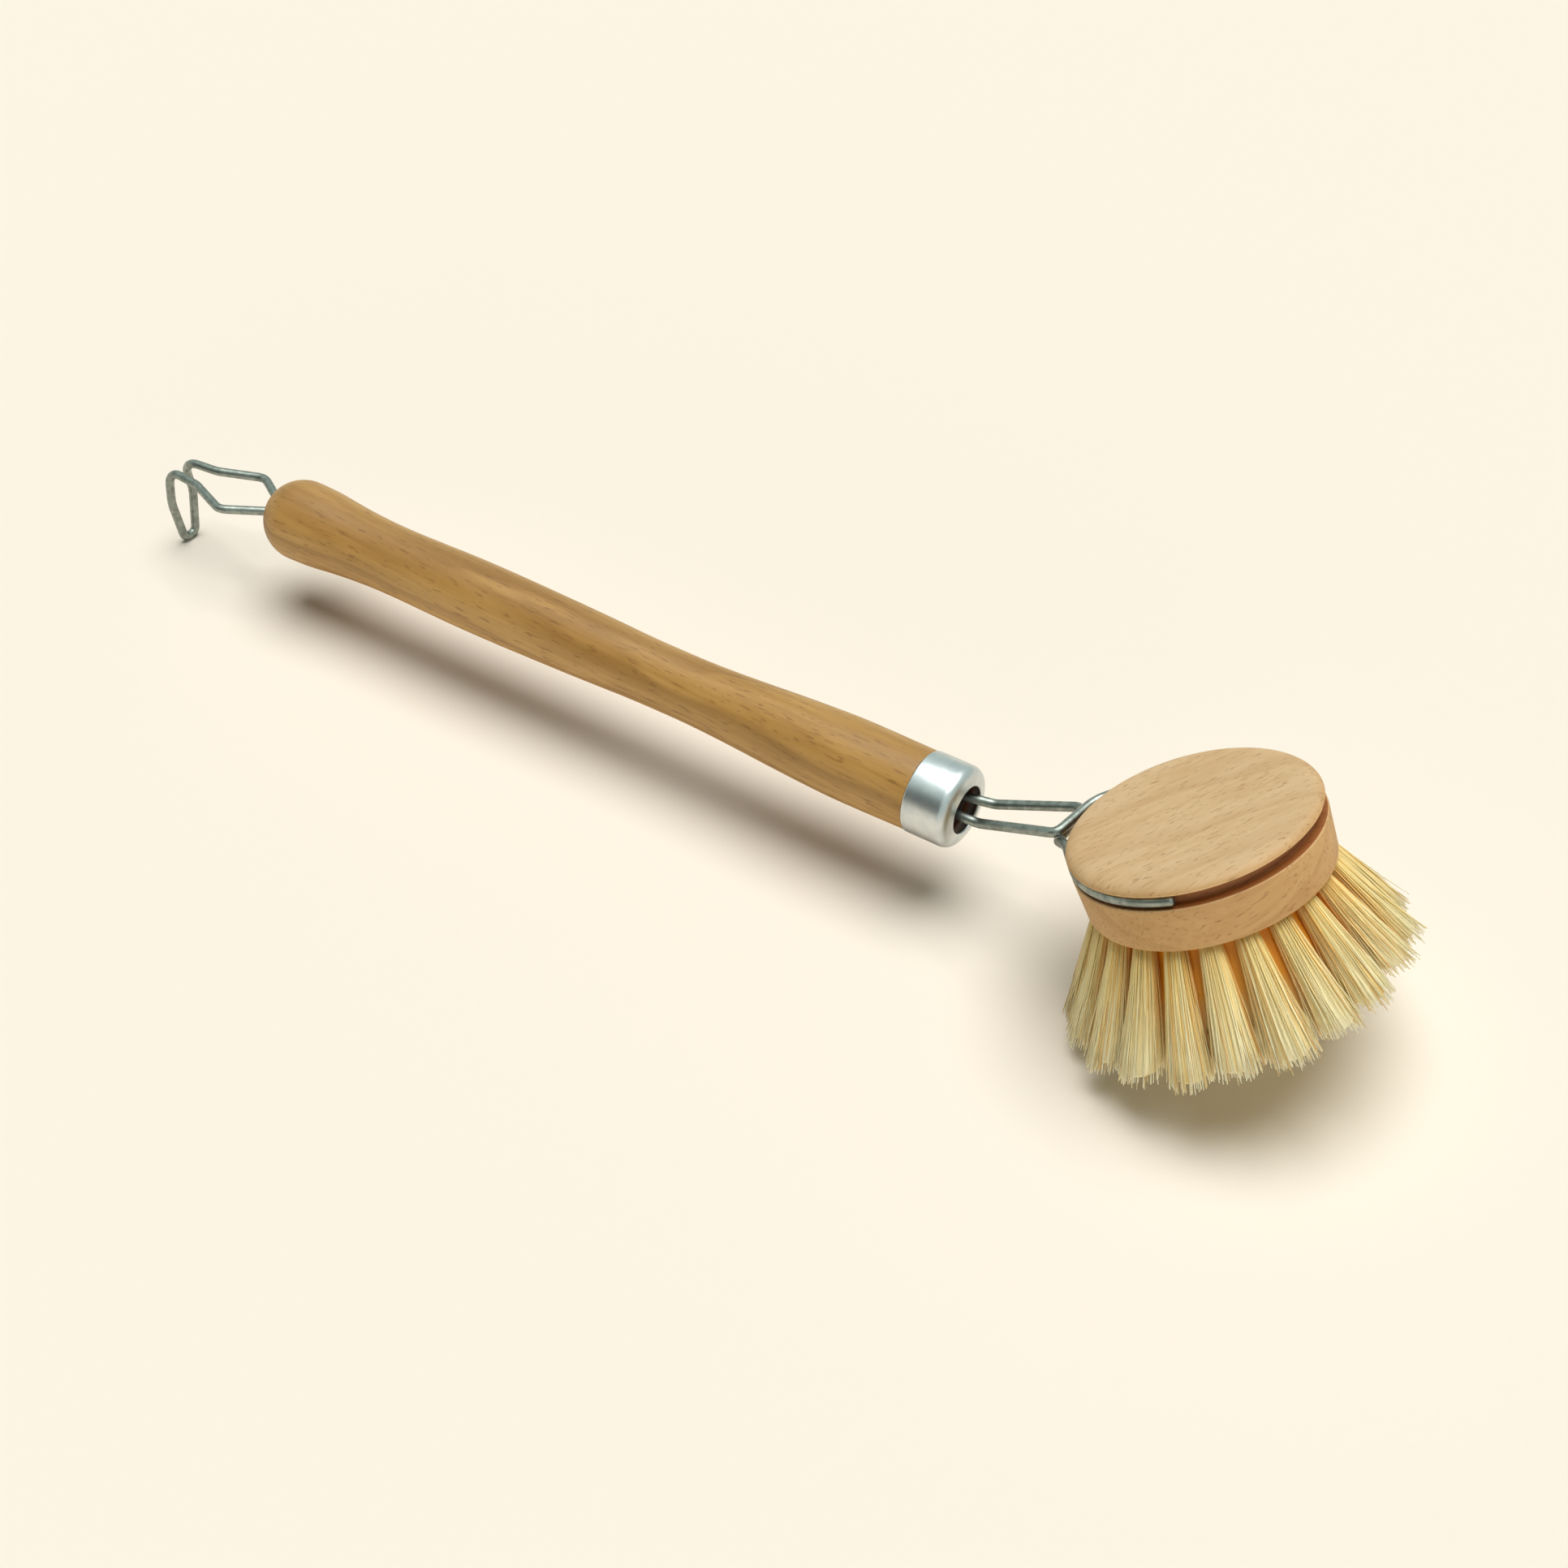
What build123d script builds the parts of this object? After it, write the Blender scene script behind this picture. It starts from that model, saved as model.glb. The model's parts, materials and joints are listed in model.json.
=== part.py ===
"""Dish brush with a replaceable round head, in millimetres.

The brush lies as it is put down after use: on the rear tips of its bristles and on the bottom of its
hanging hook. +Z is up from the floor at Z = 0, +X runs from the hook to the head, and the plane Y = 0
halves the brush. The origin is on the floor, under the middle of its length.
"""

import math
import os

from build123d import *

os.makedirs("parts", exist_ok=True)

# Head block, a turned disc with a groove round it
head_diameter = 50.0
head_base_diameter = 48.9
head_tilt = 24.6  # degrees, the crown leans back towards the handle
crown_height = 1.9
crown_edge_width = 3.4
groove_height = 2.9
groove_depth = 2.35
skirt_height = 9.6
backing_thickness = 1.2
backing_rim = 1.0

# Tufts, set in rings of drilled holes that all point at one apex above the head
ring_radius_shares = [0.851, 0.605, 0.368, 0.139]
ring_names = ["outer", "second", "third", "centre"]
tuft_pitch = 6.5
tuft_hole_diameter = 4.4
tuft_hole_depth = 6.6
tuft_root_clearance = 0.1
anchor_height = 1.6
anchor_thickness = 0.4
bristle_length = 23.3
flare_apex_height = 47.0
strands_round_tuft = 9
strand_width = 0.7
strand_ring_radius = 1.6
strand_tip_clearance = 0.1
strand_sink = 0.4
slice_clearance = 0.05
floor_cut_depth = 0.5

# Clip, one spring wire whose legs cross in front of the head and lie in its groove
clip_wire_diameter = 2.1
clip_clearance = 0.3
clip_bend_gap = 24.8  # this and the other gaps of the legs run back from the edge of the head
clip_bend_ahead = 4.5
clip_bend_radius = 5.0
clip_root_half_gap = 2.4
upper_bend_side = 2.1
upper_corner_gap = 3.6
upper_corner_side = 5.0
upper_corner_rise = 0.7
upper_corner_radius = 1.7
upper_entry_gap = 1.9
upper_entry_rise = 0.45
upper_entry_radius = 7.0
upper_entry_angle = 45.0  # degrees round from the rear, where this leg joins its groove arc
lower_bend_side = 4.8
lower_corner_gap = 4.9
lower_corner_side = 7.3
lower_corner_drop = 1.4
lower_corner_radius = 2.0
lower_turn_side = 3.9
lower_turn_drop = 1.9
lower_turn_radius = 2.5
lower_entry_gap = 0.05
lower_entry_drop = 0.3
lower_entry_radius = 8.0
lower_entry_angle = 40.0
clip_end_angle = 109.0
clip_pivot_depth = 6.0
clip_root_depth = 21.0

# Ferrule, a pressed cup over the front end of the handle
ferrule_diameter = 17.9
ferrule_length = 9.9
ferrule_wall = 0.7
ferrule_edge_round = 2.3
ferrule_opening_diameter = 10.4
ferrule_dome = 0.7

# Handle, turned round its axis; stations run back from the front face of the ferrule
shoulder_diameter = 17.5
front_swell_station = 26.0
front_swell_diameter = 17.9
front_waist_station = 70.0
front_waist_diameter = 14.0
belly_station = 128.0
belly_diameter = 16.4
rear_waist_station = 149.0
rear_waist_diameter = 15.8
knob_station = 181.5
knob_diameter = 19.2
knob_end_length = 9.1
bore_mouth_diameter = 9.2
bore_mouth_depth = 7.5
bore_side_clearance = 0.05

# Hanging hook, one steel wire with a kite-shaped window and a loop bent down
hook_wire_diameter = 2.1
hook_hole_clearance = 0.05
hook_leg_half_gap = 1.9
hook_leg_depth = 14.0
hook_exit_gap = 0.7
hook_exit_radius = 2.4
window_corner_station = 201.8
window_corner_half_width = 7.85
window_corner_radius = 3.8
neck_station = 213.4
neck_half_width = 3.5
neck_radius = 8.0
loop_station = 224.0
loop_top_half_width = 2.5
loop_bend_radius = 4.3
loop_side_half_width = 3.6
loop_side_drop = 9.4
loop_side_radius = 12.0
loop_foot_half_width = 1.85
loop_foot_radius = 1.7
loop_drop = 20.6

# Head frame: its origin is where the head's axis meets the middle of the groove
head_radius = head_diameter / 2
clip_bend_reach = head_radius + clip_bend_gap
clip_wire_radius = clip_wire_diameter / 2
hook_wire_radius = hook_wire_diameter / 2
crown_z = groove_height / 2 + crown_height
base_z = -groove_height / 2 - skirt_height
tip_z = base_z - bristle_length
tip_spread = (flare_apex_height + bristle_length) / flare_apex_height
ring_radii = [share * head_base_diameter / 2 for share in ring_radius_shares]
ring_counts = [int(2 * math.pi * radius / tuft_pitch) for radius in ring_radii]
ring_gap = min(outer - inner for outer, inner in zip(ring_radii, ring_radii[1:]))
strand_tip_ring_radius = (
    min(ring_gap, tuft_pitch) * tip_spread / 2 - strand_width / math.sqrt(2) - strand_tip_clearance
)
outermost_tip_radius = ring_radii[0] * tip_spread + strand_tip_ring_radius
tilt = math.radians(head_tilt)
head_height = outermost_tip_radius * math.sin(tilt) - tip_z * math.cos(tilt) - floor_cut_depth

# The handle's slope is the one at which the hook's foot stands on the floor
bend_height = head_height - clip_bend_reach * math.sin(tilt)
hook_reach = clip_bend_ahead + loop_station
slope = math.asin((bend_height - hook_wire_radius) / math.hypot(hook_reach, loop_drop)) - math.atan2(
    loop_drop, hook_reach
)
front_reach = outermost_tip_radius * math.cos(tilt) - tip_z * math.sin(tilt)
rear_reach = clip_bend_reach * math.cos(tilt) + hook_reach * math.cos(slope) + hook_wire_radius
head_x = (rear_reach - front_reach) / 2

head_plane = Plane(
    origin=(head_x, 0, head_height),
    x_dir=(math.cos(tilt), 0, math.sin(tilt)),
    z_dir=(-math.sin(tilt), 0, math.cos(tilt)),
)
head_place = head_plane.location
floor_under_head = Plane.XY.move(head_place.inverse())

handle_forward = Vector(math.cos(slope), 0, math.sin(slope))
ferrule_front = (
    head_plane.origin - head_plane.x_dir * clip_bend_reach - handle_forward * clip_bend_ahead
)
handle_plane = Plane(
    ferrule_front, x_dir=-handle_forward, z_dir=(-math.sin(slope), 0, math.cos(slope))
)
handle_side_plane = Plane(ferrule_front, x_dir=-handle_forward, z_dir=(0, 1, 0))
handle_axis = Axis(ferrule_front, -handle_forward)
bend_angle = tilt - slope


def behind_bend(distance, side):
    """A point on a line beside the handle's axis, behind the clip's bend, in the head frame."""
    return (
        -clip_bend_reach - distance * math.cos(bend_angle),
        side,
        distance * math.sin(bend_angle),
    )


def tuft_centres(radius, count):
    """Places of one ring's tufts on the underside of the head, as X and Y in the head frame."""
    turns = [2 * math.pi * (step + 0.5) / count for step in range(count)]
    return [(radius * math.cos(turn), radius * math.sin(turn)) for turn in turns]


def tuft_frames(radius, count):
    """Planes at the mouths of one ring's tuft holes, in the head frame, each facing out of its hole."""
    return [
        Plane((x, y, base_z), x_dir=(-y, x, 0), z_dir=(x, y, -flare_apex_height))
        for x, y in tuft_centres(radius, count)
    ]


# Head block; the head's pieces are made upright and then tilted into place
hole_frames = [
    frame for radius, count in zip(ring_radii, ring_counts) for frame in tuft_frames(radius, count)
]
recess_radius = head_base_diameter / 2 - backing_rim
groove_floor_radius = head_radius - groove_depth
with BuildPart() as head_block:
    with BuildSketch(Plane.XZ):
        with BuildLine():
            crown_top = Line((0, crown_z), (head_radius - crown_edge_width, crown_z))
            crown_edge = EllipticalCenterArc(
                (head_radius - crown_edge_width, groove_height / 2),
                crown_edge_width,
                crown_height,
                start_angle=0,
                arc_size=90,
            )
            Polyline(
                (head_radius, groove_height / 2),
                (groove_floor_radius, groove_height / 2),
                (groove_floor_radius, -groove_height / 2),
                (head_radius, -groove_height / 2),
                (head_base_diameter / 2, base_z),
                (recess_radius, base_z),
                (recess_radius, base_z + backing_thickness),
                (0, base_z + backing_thickness),
                (0, crown_z),
            )
        make_face()
    revolve(axis=Axis.Z)
    with Locations(*hole_frames):
        Cylinder(
            tuft_hole_diameter / 2,
            tuft_hole_depth,
            align=(Align.CENTER, Align.CENTER, Align.MAX),
            mode=Mode.SUBTRACT,
        )
head_block.part.move(head_place)
head_block.part.label = "head_block"
export_step(head_block.part, "parts/head_block.step")

# Tuft anchors, one flat wire across the inner end of each hole
with BuildPart() as tuft_anchors:
    with Locations(*[frame.offset(-tuft_hole_depth) for frame in hole_frames]):
        Box(
            tuft_hole_diameter - 2 * tuft_root_clearance,
            anchor_thickness,
            anchor_height,
            align=(Align.CENTER, Align.CENTER, Align.MIN),
        )
tuft_anchors.part.move(head_place)
tuft_anchors.part.label = "tuft_anchors"
export_step(tuft_anchors.part, "parts/tuft_anchors.step")


def strand_ends(centre):
    """Foot and tip of each strand of one tuft, in the head frame: one in the middle, the rest round it."""
    x, y = centre
    facing = math.atan2(y, x)
    ends = [((x, y, base_z + strand_sink), (x * tip_spread, y * tip_spread, tip_z))]
    for step in range(strands_round_tuft):
        turn = facing + 2 * math.pi * step / strands_round_tuft
        aside, up = math.cos(turn), math.sin(turn)
        foot = (x + strand_ring_radius * aside, y + strand_ring_radius * up, base_z + strand_sink)
        tip = (
            x * tip_spread + strand_tip_ring_radius * aside,
            y * tip_spread + strand_tip_ring_radius * up,
            tip_z,
        )
        ends.append((foot, tip))
    return ends


# Bristles, one ring of tufts after another, each on its slice of the backing
midway_radii = [(outer + inner) / 2 for outer, inner in zip(ring_radii, ring_radii[1:])]
slice_outer_radii = [recess_radius] + midway_radii
slice_inner_radii = midway_radii + [0]
for name, radius, count, slice_outer, slice_inner in zip(
    ring_names, ring_radii, ring_counts, slice_outer_radii, slice_inner_radii
):
    with BuildPart() as bristles:
        with BuildSketch(Plane.XY.offset(base_z)):
            Circle(slice_outer)
            if slice_inner > 0:
                Circle(slice_inner + slice_clearance, mode=Mode.SUBTRACT)
        extrude(amount=backing_thickness)
        strands = []
        for centre in tuft_centres(radius, count):
            for foot, tip in strand_ends(centre):
                run = Vector(tip) - Vector(foot)
                with BuildSketch(Plane(foot), mode=Mode.PRIVATE) as foot_sketch:
                    Rectangle(strand_width, strand_width)
                strands.append(
                    extrude(foot_sketch.sketch, amount=run.length, dir=run, mode=Mode.PRIVATE)
                )
        add(strands)
        with Locations(*[mouth.offset(-backing_thickness) for mouth in tuft_frames(radius, count)]):
            Cylinder(
                tuft_hole_diameter / 2 - tuft_root_clearance,
                tuft_hole_depth - anchor_height - backing_thickness,
                align=(Align.CENTER, Align.CENTER, Align.MAX),
            )
        split(bisect_by=floor_under_head)
    bristles.part.move(head_place)
    bristles.part.label = "bristles_" + name
    export_step(bristles.part, "parts/bristles_" + name + ".step")

# Ferrule
ferrule_radius = ferrule_diameter / 2
spigot_radius = ferrule_radius - ferrule_wall
opening_radius = ferrule_opening_diameter / 2
with BuildPart() as ferrule:
    with BuildSketch(handle_side_plane):
        with BuildLine():
            FilletPolyline(
                (ferrule_length, ferrule_radius),
                (0, ferrule_radius),
                (-ferrule_dome, opening_radius),
                radius=ferrule_edge_round,
            )
            FilletPolyline(
                (ferrule_wall - ferrule_dome, opening_radius),
                (ferrule_wall, spigot_radius),
                (ferrule_length, spigot_radius),
                radius=ferrule_edge_round - ferrule_wall,
            )
            Line((-ferrule_dome, opening_radius), (ferrule_wall - ferrule_dome, opening_radius))
            Line((ferrule_length, spigot_radius), (ferrule_length, ferrule_radius))
        make_face()
    revolve(axis=handle_axis)
ferrule.part.label = "ferrule"
export_step(ferrule.part, "parts/ferrule.step")

# Handle
knob_radius = knob_diameter / 2
knob_end = knob_station + knob_end_length
bore_radius = clip_root_half_gap + clip_wire_radius + bore_side_clearance
bore_end = clip_root_depth + clip_clearance
with BuildPart() as handle:
    with BuildSketch(handle_side_plane):
        with BuildLine():
            Polyline(
                (ferrule_edge_round, bore_mouth_diameter / 2),
                (ferrule_edge_round, spigot_radius),
                (ferrule_length, spigot_radius),
                (ferrule_length, shoulder_diameter / 2),
            )
            Spline(
                (ferrule_length, shoulder_diameter / 2),
                (front_swell_station, front_swell_diameter / 2),
                (front_waist_station, front_waist_diameter / 2),
                (belly_station, belly_diameter / 2),
                (rear_waist_station, rear_waist_diameter / 2),
                (knob_station, knob_radius),
                tangents=((1, 0), (1, 0)),
            )
            knob_arc = CenterArc(
                (knob_station, 0),
                knob_radius,
                start_angle=90,
                arc_size=-math.degrees(math.asin(knob_end_length / knob_radius)),
            )
            Polyline(
                knob_arc @ 1,
                (knob_end, 0),
                (bore_end, 0),
                (bore_end, bore_radius),
                (bore_mouth_depth, bore_radius),
                (ferrule_edge_round, bore_mouth_diameter / 2),
            )
        make_face()
    revolve(axis=handle_axis)
    with BuildSketch(
        Plane(
            handle_plane.from_local_coords((knob_end, 0, 0)),
            x_dir=(0, 1, 0),
            z_dir=-handle_forward,
        )
    ):
        with Locations((-hook_leg_half_gap, 0), (hook_leg_half_gap, 0)):
            Circle(hook_wire_radius + hook_hole_clearance)
    extrude(amount=-hook_leg_depth - hook_hole_clearance, mode=Mode.SUBTRACT)
handle.part.label = "handle"
export_step(handle.part, "parts/handle.step")

# Hanging hook, swept as one half and mirrored
with BuildPart() as hanging_hook:
    with BuildLine(handle_plane) as hook_path:
        FilletPolyline(
            (knob_end - hook_leg_depth, hook_leg_half_gap, 0),
            (knob_end + hook_exit_gap, hook_leg_half_gap, 0),
            (window_corner_station, window_corner_half_width, 0),
            (neck_station, neck_half_width, 0),
            (loop_station, loop_top_half_width, 0),
            (loop_station, loop_side_half_width, -loop_side_drop),
            (loop_station, loop_foot_half_width, -loop_drop),
            (loop_station, 0, -loop_drop),
            radius=[
                hook_exit_radius,
                window_corner_radius,
                neck_radius,
                loop_bend_radius,
                loop_side_radius,
                loop_foot_radius,
            ],
        )
    with BuildSketch(Plane(hook_path.line @ 0, z_dir=hook_path.line % 0)):
        Circle(hook_wire_radius)
    sweep(path=hook_path.line)
    mirror(about=Plane.XZ)
hanging_hook.part.label = "hanging_hook"
export_step(hanging_hook.part, "parts/hanging_hook.step")

# Clip root, the hairpin bend of the spring wire at the bottom of the bore
root_straight_end = clip_root_depth - clip_root_half_gap - clip_wire_radius
with BuildPart() as clip_root:
    with BuildLine(handle_plane) as root_path:
        Line(
            (clip_pivot_depth + clip_clearance / 2, clip_root_half_gap),
            (root_straight_end, clip_root_half_gap),
        )
        CenterArc((root_straight_end, 0), clip_root_half_gap, start_angle=90, arc_size=-180)
        Line(
            (root_straight_end, -clip_root_half_gap),
            (clip_pivot_depth + clip_clearance / 2, -clip_root_half_gap),
        )
    with BuildSketch(Plane(root_path.line @ 0, z_dir=root_path.line % 0)):
        Circle(clip_wire_radius)
    sweep(path=root_path.line)
clip_root.part.label = "clip_root"
export_step(clip_root.part, "parts/clip_root.step")

# Clip arms; the legs cross in front of the head, so each ends in the groove on the other side
groove_path_radius = groove_floor_radius + clip_clearance + clip_wire_radius
arm_start = clip_bend_ahead + clip_pivot_depth - clip_clearance / 2


def groove_entry(angle, side, gap, height):
    """The last two corners of a leg: one on the tangent of its groove arc, then the arc's start."""
    start_x = -groove_path_radius * math.cos(math.radians(angle))
    start_y = groove_path_radius * math.sin(math.radians(angle))
    reach = head_radius + gap
    tangent_y = start_y - (reach + start_x) / math.tan(math.radians(angle))
    return [(-reach, side * tangent_y, height), (start_x, side * start_y, 0)]


upper_leg = [
    behind_bend(arm_start, -clip_root_half_gap),
    (-clip_bend_reach, -upper_bend_side, 0),
    (-head_radius - upper_corner_gap, -upper_corner_side, upper_corner_rise),
] + groove_entry(upper_entry_angle, 1, upper_entry_gap, upper_entry_rise)
upper_bends = [clip_bend_radius, upper_corner_radius, upper_entry_radius]
lower_leg = [
    behind_bend(arm_start, clip_root_half_gap),
    (-clip_bend_reach, lower_bend_side, 0),
    (-head_radius - lower_corner_gap, lower_corner_side, -lower_corner_drop),
    (-head_radius - lower_corner_gap, -lower_turn_side, -lower_turn_drop),
] + groove_entry(lower_entry_angle, -1, lower_entry_gap, -lower_entry_drop)
lower_bends = [clip_bend_radius, lower_corner_radius, lower_turn_radius, lower_entry_radius]
for name, corners, bends, entry_angle, side in [
    ("clip_arm_right", upper_leg, upper_bends, upper_entry_angle, 1),
    ("clip_arm_left", lower_leg, lower_bends, lower_entry_angle, -1),
]:
    with BuildPart() as clip_arm:
        with BuildLine(head_plane) as arm_path:
            FilletPolyline(*corners, radius=bends)
            CenterArc(
                (0, 0),
                groove_path_radius,
                start_angle=180 - side * entry_angle,
                arc_size=side * (entry_angle - clip_end_angle),
            )
        arm_wire = arm_path.wire()
        with BuildSketch(Plane(arm_wire @ 0, z_dir=arm_wire % 0)):
            Circle(clip_wire_radius)
        sweep(path=arm_wire)
    clip_arm.part.label = name
    export_step(clip_arm.part, "parts/" + name + ".step")
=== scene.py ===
# %% [markdown]
# # A wooden dish brush
# A turned beech handle with a sprung wire clip at one end and a wire hanging hook at the other. The clip
# holds a replaceable head: a beech disc with rings of plant-fibre tufts. The brush lies as it is put down
# after use, on the tips of its rear bristles and on the foot of its hook.
# Every surface here is worked out with numpy as whole arrays. Lengths are written in millimetres and
# turned to metres where a mesh is made, because Blender's unit is the metre.

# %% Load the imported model
import math

import bpy
import numpy as np
from mathutils import Matrix, Vector
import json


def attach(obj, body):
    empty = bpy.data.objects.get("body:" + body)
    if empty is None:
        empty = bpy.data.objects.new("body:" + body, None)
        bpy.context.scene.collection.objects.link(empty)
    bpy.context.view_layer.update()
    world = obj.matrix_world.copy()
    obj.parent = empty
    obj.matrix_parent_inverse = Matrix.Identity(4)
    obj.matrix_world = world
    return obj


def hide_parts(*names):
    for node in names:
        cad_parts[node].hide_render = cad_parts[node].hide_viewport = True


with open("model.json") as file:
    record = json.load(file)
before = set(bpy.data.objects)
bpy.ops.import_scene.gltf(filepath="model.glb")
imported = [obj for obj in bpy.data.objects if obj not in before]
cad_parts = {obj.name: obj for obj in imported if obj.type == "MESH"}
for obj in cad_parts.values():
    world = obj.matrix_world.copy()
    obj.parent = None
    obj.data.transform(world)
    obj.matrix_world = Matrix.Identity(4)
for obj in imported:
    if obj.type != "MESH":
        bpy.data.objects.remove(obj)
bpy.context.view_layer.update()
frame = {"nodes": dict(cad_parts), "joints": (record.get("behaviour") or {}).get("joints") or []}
MM = 0.001
print("nodes", sorted(frame["nodes"]))

# %% [markdown]
# ## Where things are
# The head turns about one axis and the clip's two legs swing about two others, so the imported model's
# joints say where the head and the handle are. Reading them keeps this file in step with the CAD. Each
# piece is then drawn in the plain frame of the head or of the handle and set in its place as a whole.

# %% Frames of the head and the handle
joints = {joint["name"]: joint for joint in frame["joints"]}
head_at = np.array(joints["head_spin"]["pos_m"]) / MM
head_up = np.array(joints["head_spin"]["axis"])
head_up = head_up / np.linalg.norm(head_up)
head_right = np.array([head_up[2], 0.0, -head_up[0]])
sideways = np.array([0.0, 1.0, 0.0])

# the clip bends this far from the head's axis and this far ahead of the ferrule, and its legs' pivots
# are this deep in the bore
clip_bend_reach = 49.8
clip_bend_ahead = 4.5
clip_pivot_depth = 6.0
pivot_middle = np.array(joints["clip_right_spread"]["pos_m"]) / MM * [1, 0, 1]
bend_at = head_at - head_right * clip_bend_reach
forward = (bend_at - pivot_middle) / np.linalg.norm(bend_at - pivot_middle)
backward = -forward
handle_up = np.array([-forward[2], 0.0, forward[0]])
ferrule_front = bend_at - forward * clip_bend_ahead
print("head at", head_at.round(2), "handle slope", round(math.degrees(math.asin(forward[2])), 2))


def in_head(points):
    """Points (x, y, z) of the head's own frame, in the row frame, still in millimetres."""
    points = np.asarray(points, float)
    axes = np.stack([head_right, sideways, head_up])
    return head_at + points @ axes


def on_handle(points):
    """Points (distance behind the ferrule's front, sideways, up) of the handle, in the row frame."""
    points = np.asarray(points, float)
    axes = np.stack([backward, sideways, handle_up])
    return ferrule_front + points @ axes


# %% [markdown]
# ## From arrays to meshes
# A mesh is three arrays: the vertices, and the corner numbers of its four-sided and three-sided faces.
# foreach_set copies whole arrays into Blender at once, which is far quicker than a loop. Most pieces here
# are tubes, rows of points joined by bands of faces, so one function makes the bands of all of them.

# %% A mesh from arrays
def surface(name, points, quads, triangles):
    """A smooth mesh object at the origin, from points in millimetres and faces as rows of corners."""
    mesh = bpy.data.meshes.new(name)
    mesh.vertices.add(len(points))
    mesh.vertices.foreach_set("co", (points * MM).astype(np.float32).ravel())
    corners = np.concatenate([quads.ravel(), triangles.ravel()]).astype(np.int32)
    starts = np.concatenate([np.arange(len(quads)) * 4, len(quads) * 4 + np.arange(len(triangles)) * 3])
    mesh.loops.add(len(corners))
    mesh.loops.foreach_set("vertex_index", corners)
    mesh.polygons.add(len(starts))
    mesh.polygons.foreach_set("loop_start", starts.astype(np.int32))
    mesh.polygons.foreach_set("use_smooth", np.ones(len(starts), bool))
    mesh.update(calc_edges=True)
    piece = bpy.data.objects.new(name, mesh)
    bpy.context.scene.collection.objects.link(piece)
    print(name, len(points), "points", len(quads) * 2 + len(triangles), "triangles")
    return piece


def keep(piece, label, values):
    """Stores one number for each point of a piece under a label, for its material to read."""
    layer = piece.data.attributes.new(label, "FLOAT", "POINT")
    layer.data.foreach_set("value", np.ravel(values).astype(np.float32))


def bands(row, after, around):
    """Face (i, j) joins points j and j+1 of row i to the same points of the row after it."""
    step = np.arange(around)[None, :]
    beside = (step + 1) % around
    corners = [row * around + step, row * around + beside, after * around + beside, after * around + step]
    return np.stack(corners, -1).reshape(-1, 4)


def skin(name, rows, closed=False):
    """A tube of rows of points, each row a ring.

    A closed tube joins its last row to its first. An open one ends in two fans to the middles of its end
    rows.
    """
    count, around = rows.shape[:2]
    row = np.arange(count if closed else count - 1)[:, None]
    quads = bands(row, (row + 1) % count, around)
    points = rows.reshape(-1, 3)
    if closed:
        return surface(name, points, quads, np.zeros((0, 3), int))
    middles = np.array([rows[0].mean(0), rows[-1].mean(0)])
    step = np.arange(around)
    beside = (step + 1) % around
    last_row = (count - 1) * around
    first_fan = np.stack([np.full(around, len(points)), beside, step], -1)
    last_fan = np.stack([np.full(around, len(points) + 1), last_row + step, last_row + beside], -1)
    return surface(name, np.concatenate([points, middles]), quads, np.concatenate([first_fan, last_fan]))


# %% [markdown]
# ## Turned shapes
# The handle, the ferrule and the head block are all made on a lathe or drawn in a round die, so each is a
# profile turned about an axis. A profile is a list of (distance along the axis, radius).

# %% A lathe and a rounded profile
def turned(name, profile, origin, along, across, up, steps, closed=False):
    """Point (s, t) = origin + along * distance(s) + radius(s) * (cos t * across + sin t * up)."""
    profile = np.asarray(profile, float)
    turn = np.linspace(0, 2 * np.pi, steps, endpoint=False)
    spokes = np.cos(turn)[:, None] * across + np.sin(turn)[:, None] * up
    rows = origin + profile[:, 0, None, None] * along + profile[:, 1, None, None] * spokes[None]
    return skin(name, rows, closed)


def rounded(corners, radii, steps=8, closed=False):
    """A path of straight runs whose corners are replaced by arcs.

    At a corner with angle 2a between its runs, an arc of radius r leaves the runs at r / tan(a) from the
    corner, and its centre is at r / sin(a) along the bisector. Runs whose a is nearly a right angle are
    one line, with no arc.
    """
    one_line = 1.5695
    corners = [np.asarray(corner, float) for corner in corners]
    path = [] if closed else [corners[0]]
    places = range(len(corners)) if closed else range(1, len(corners) - 1)
    for place, radius in zip(places, radii):
        corner = corners[place]
        back = corners[place - 1] - corner
        ahead = corners[(place + 1) % len(corners)] - corner
        back = back / np.linalg.norm(back)
        ahead = ahead / np.linalg.norm(ahead)
        half = math.acos(np.clip(back @ ahead, -1, 1)) / 2
        if radius == 0 or half > one_line:
            path.append(corner)
            continue
        centre = corner + (back + ahead) / np.linalg.norm(back + ahead) * radius / math.sin(half)
        start = corner + back * radius / math.tan(half) - centre
        end = corner + ahead * radius / math.tan(half) - centre
        sweep = math.pi - 2 * half
        for share in np.linspace(0, 1, steps + 1):
            mix = math.sin(sweep * (1 - share)) * start + math.sin(sweep * share) * end
            path.append(centre + mix / math.sin(sweep))
    if not closed:
        path.append(corners[-1])
    return np.array(path)


def smooth_profile(stations, radii, spacing=1.0):
    """Radii between measured stations: cubic Hermite curves whose slopes are the mean of the two beside."""
    stations = np.asarray(stations, float)
    radii = np.asarray(radii, float)
    slopes = np.gradient(radii, stations)
    fine = np.arange(stations[0], stations[-1] + spacing / 2, spacing)
    place = np.clip(np.searchsorted(stations, fine, side="right") - 1, 0, len(stations) - 2)
    width = stations[place + 1] - stations[place]
    share = (fine - stations[place]) / width
    bend = (
        radii[place] * (2 * share**3 - 3 * share**2 + 1)
        + slopes[place] * width * (share**3 - 2 * share**2 + share)
        + radii[place + 1] * (3 * share**2 - 2 * share**3)
        + slopes[place + 1] * width * (share**3 - share**2)
    )
    return np.stack([fine, bend], -1)


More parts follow.
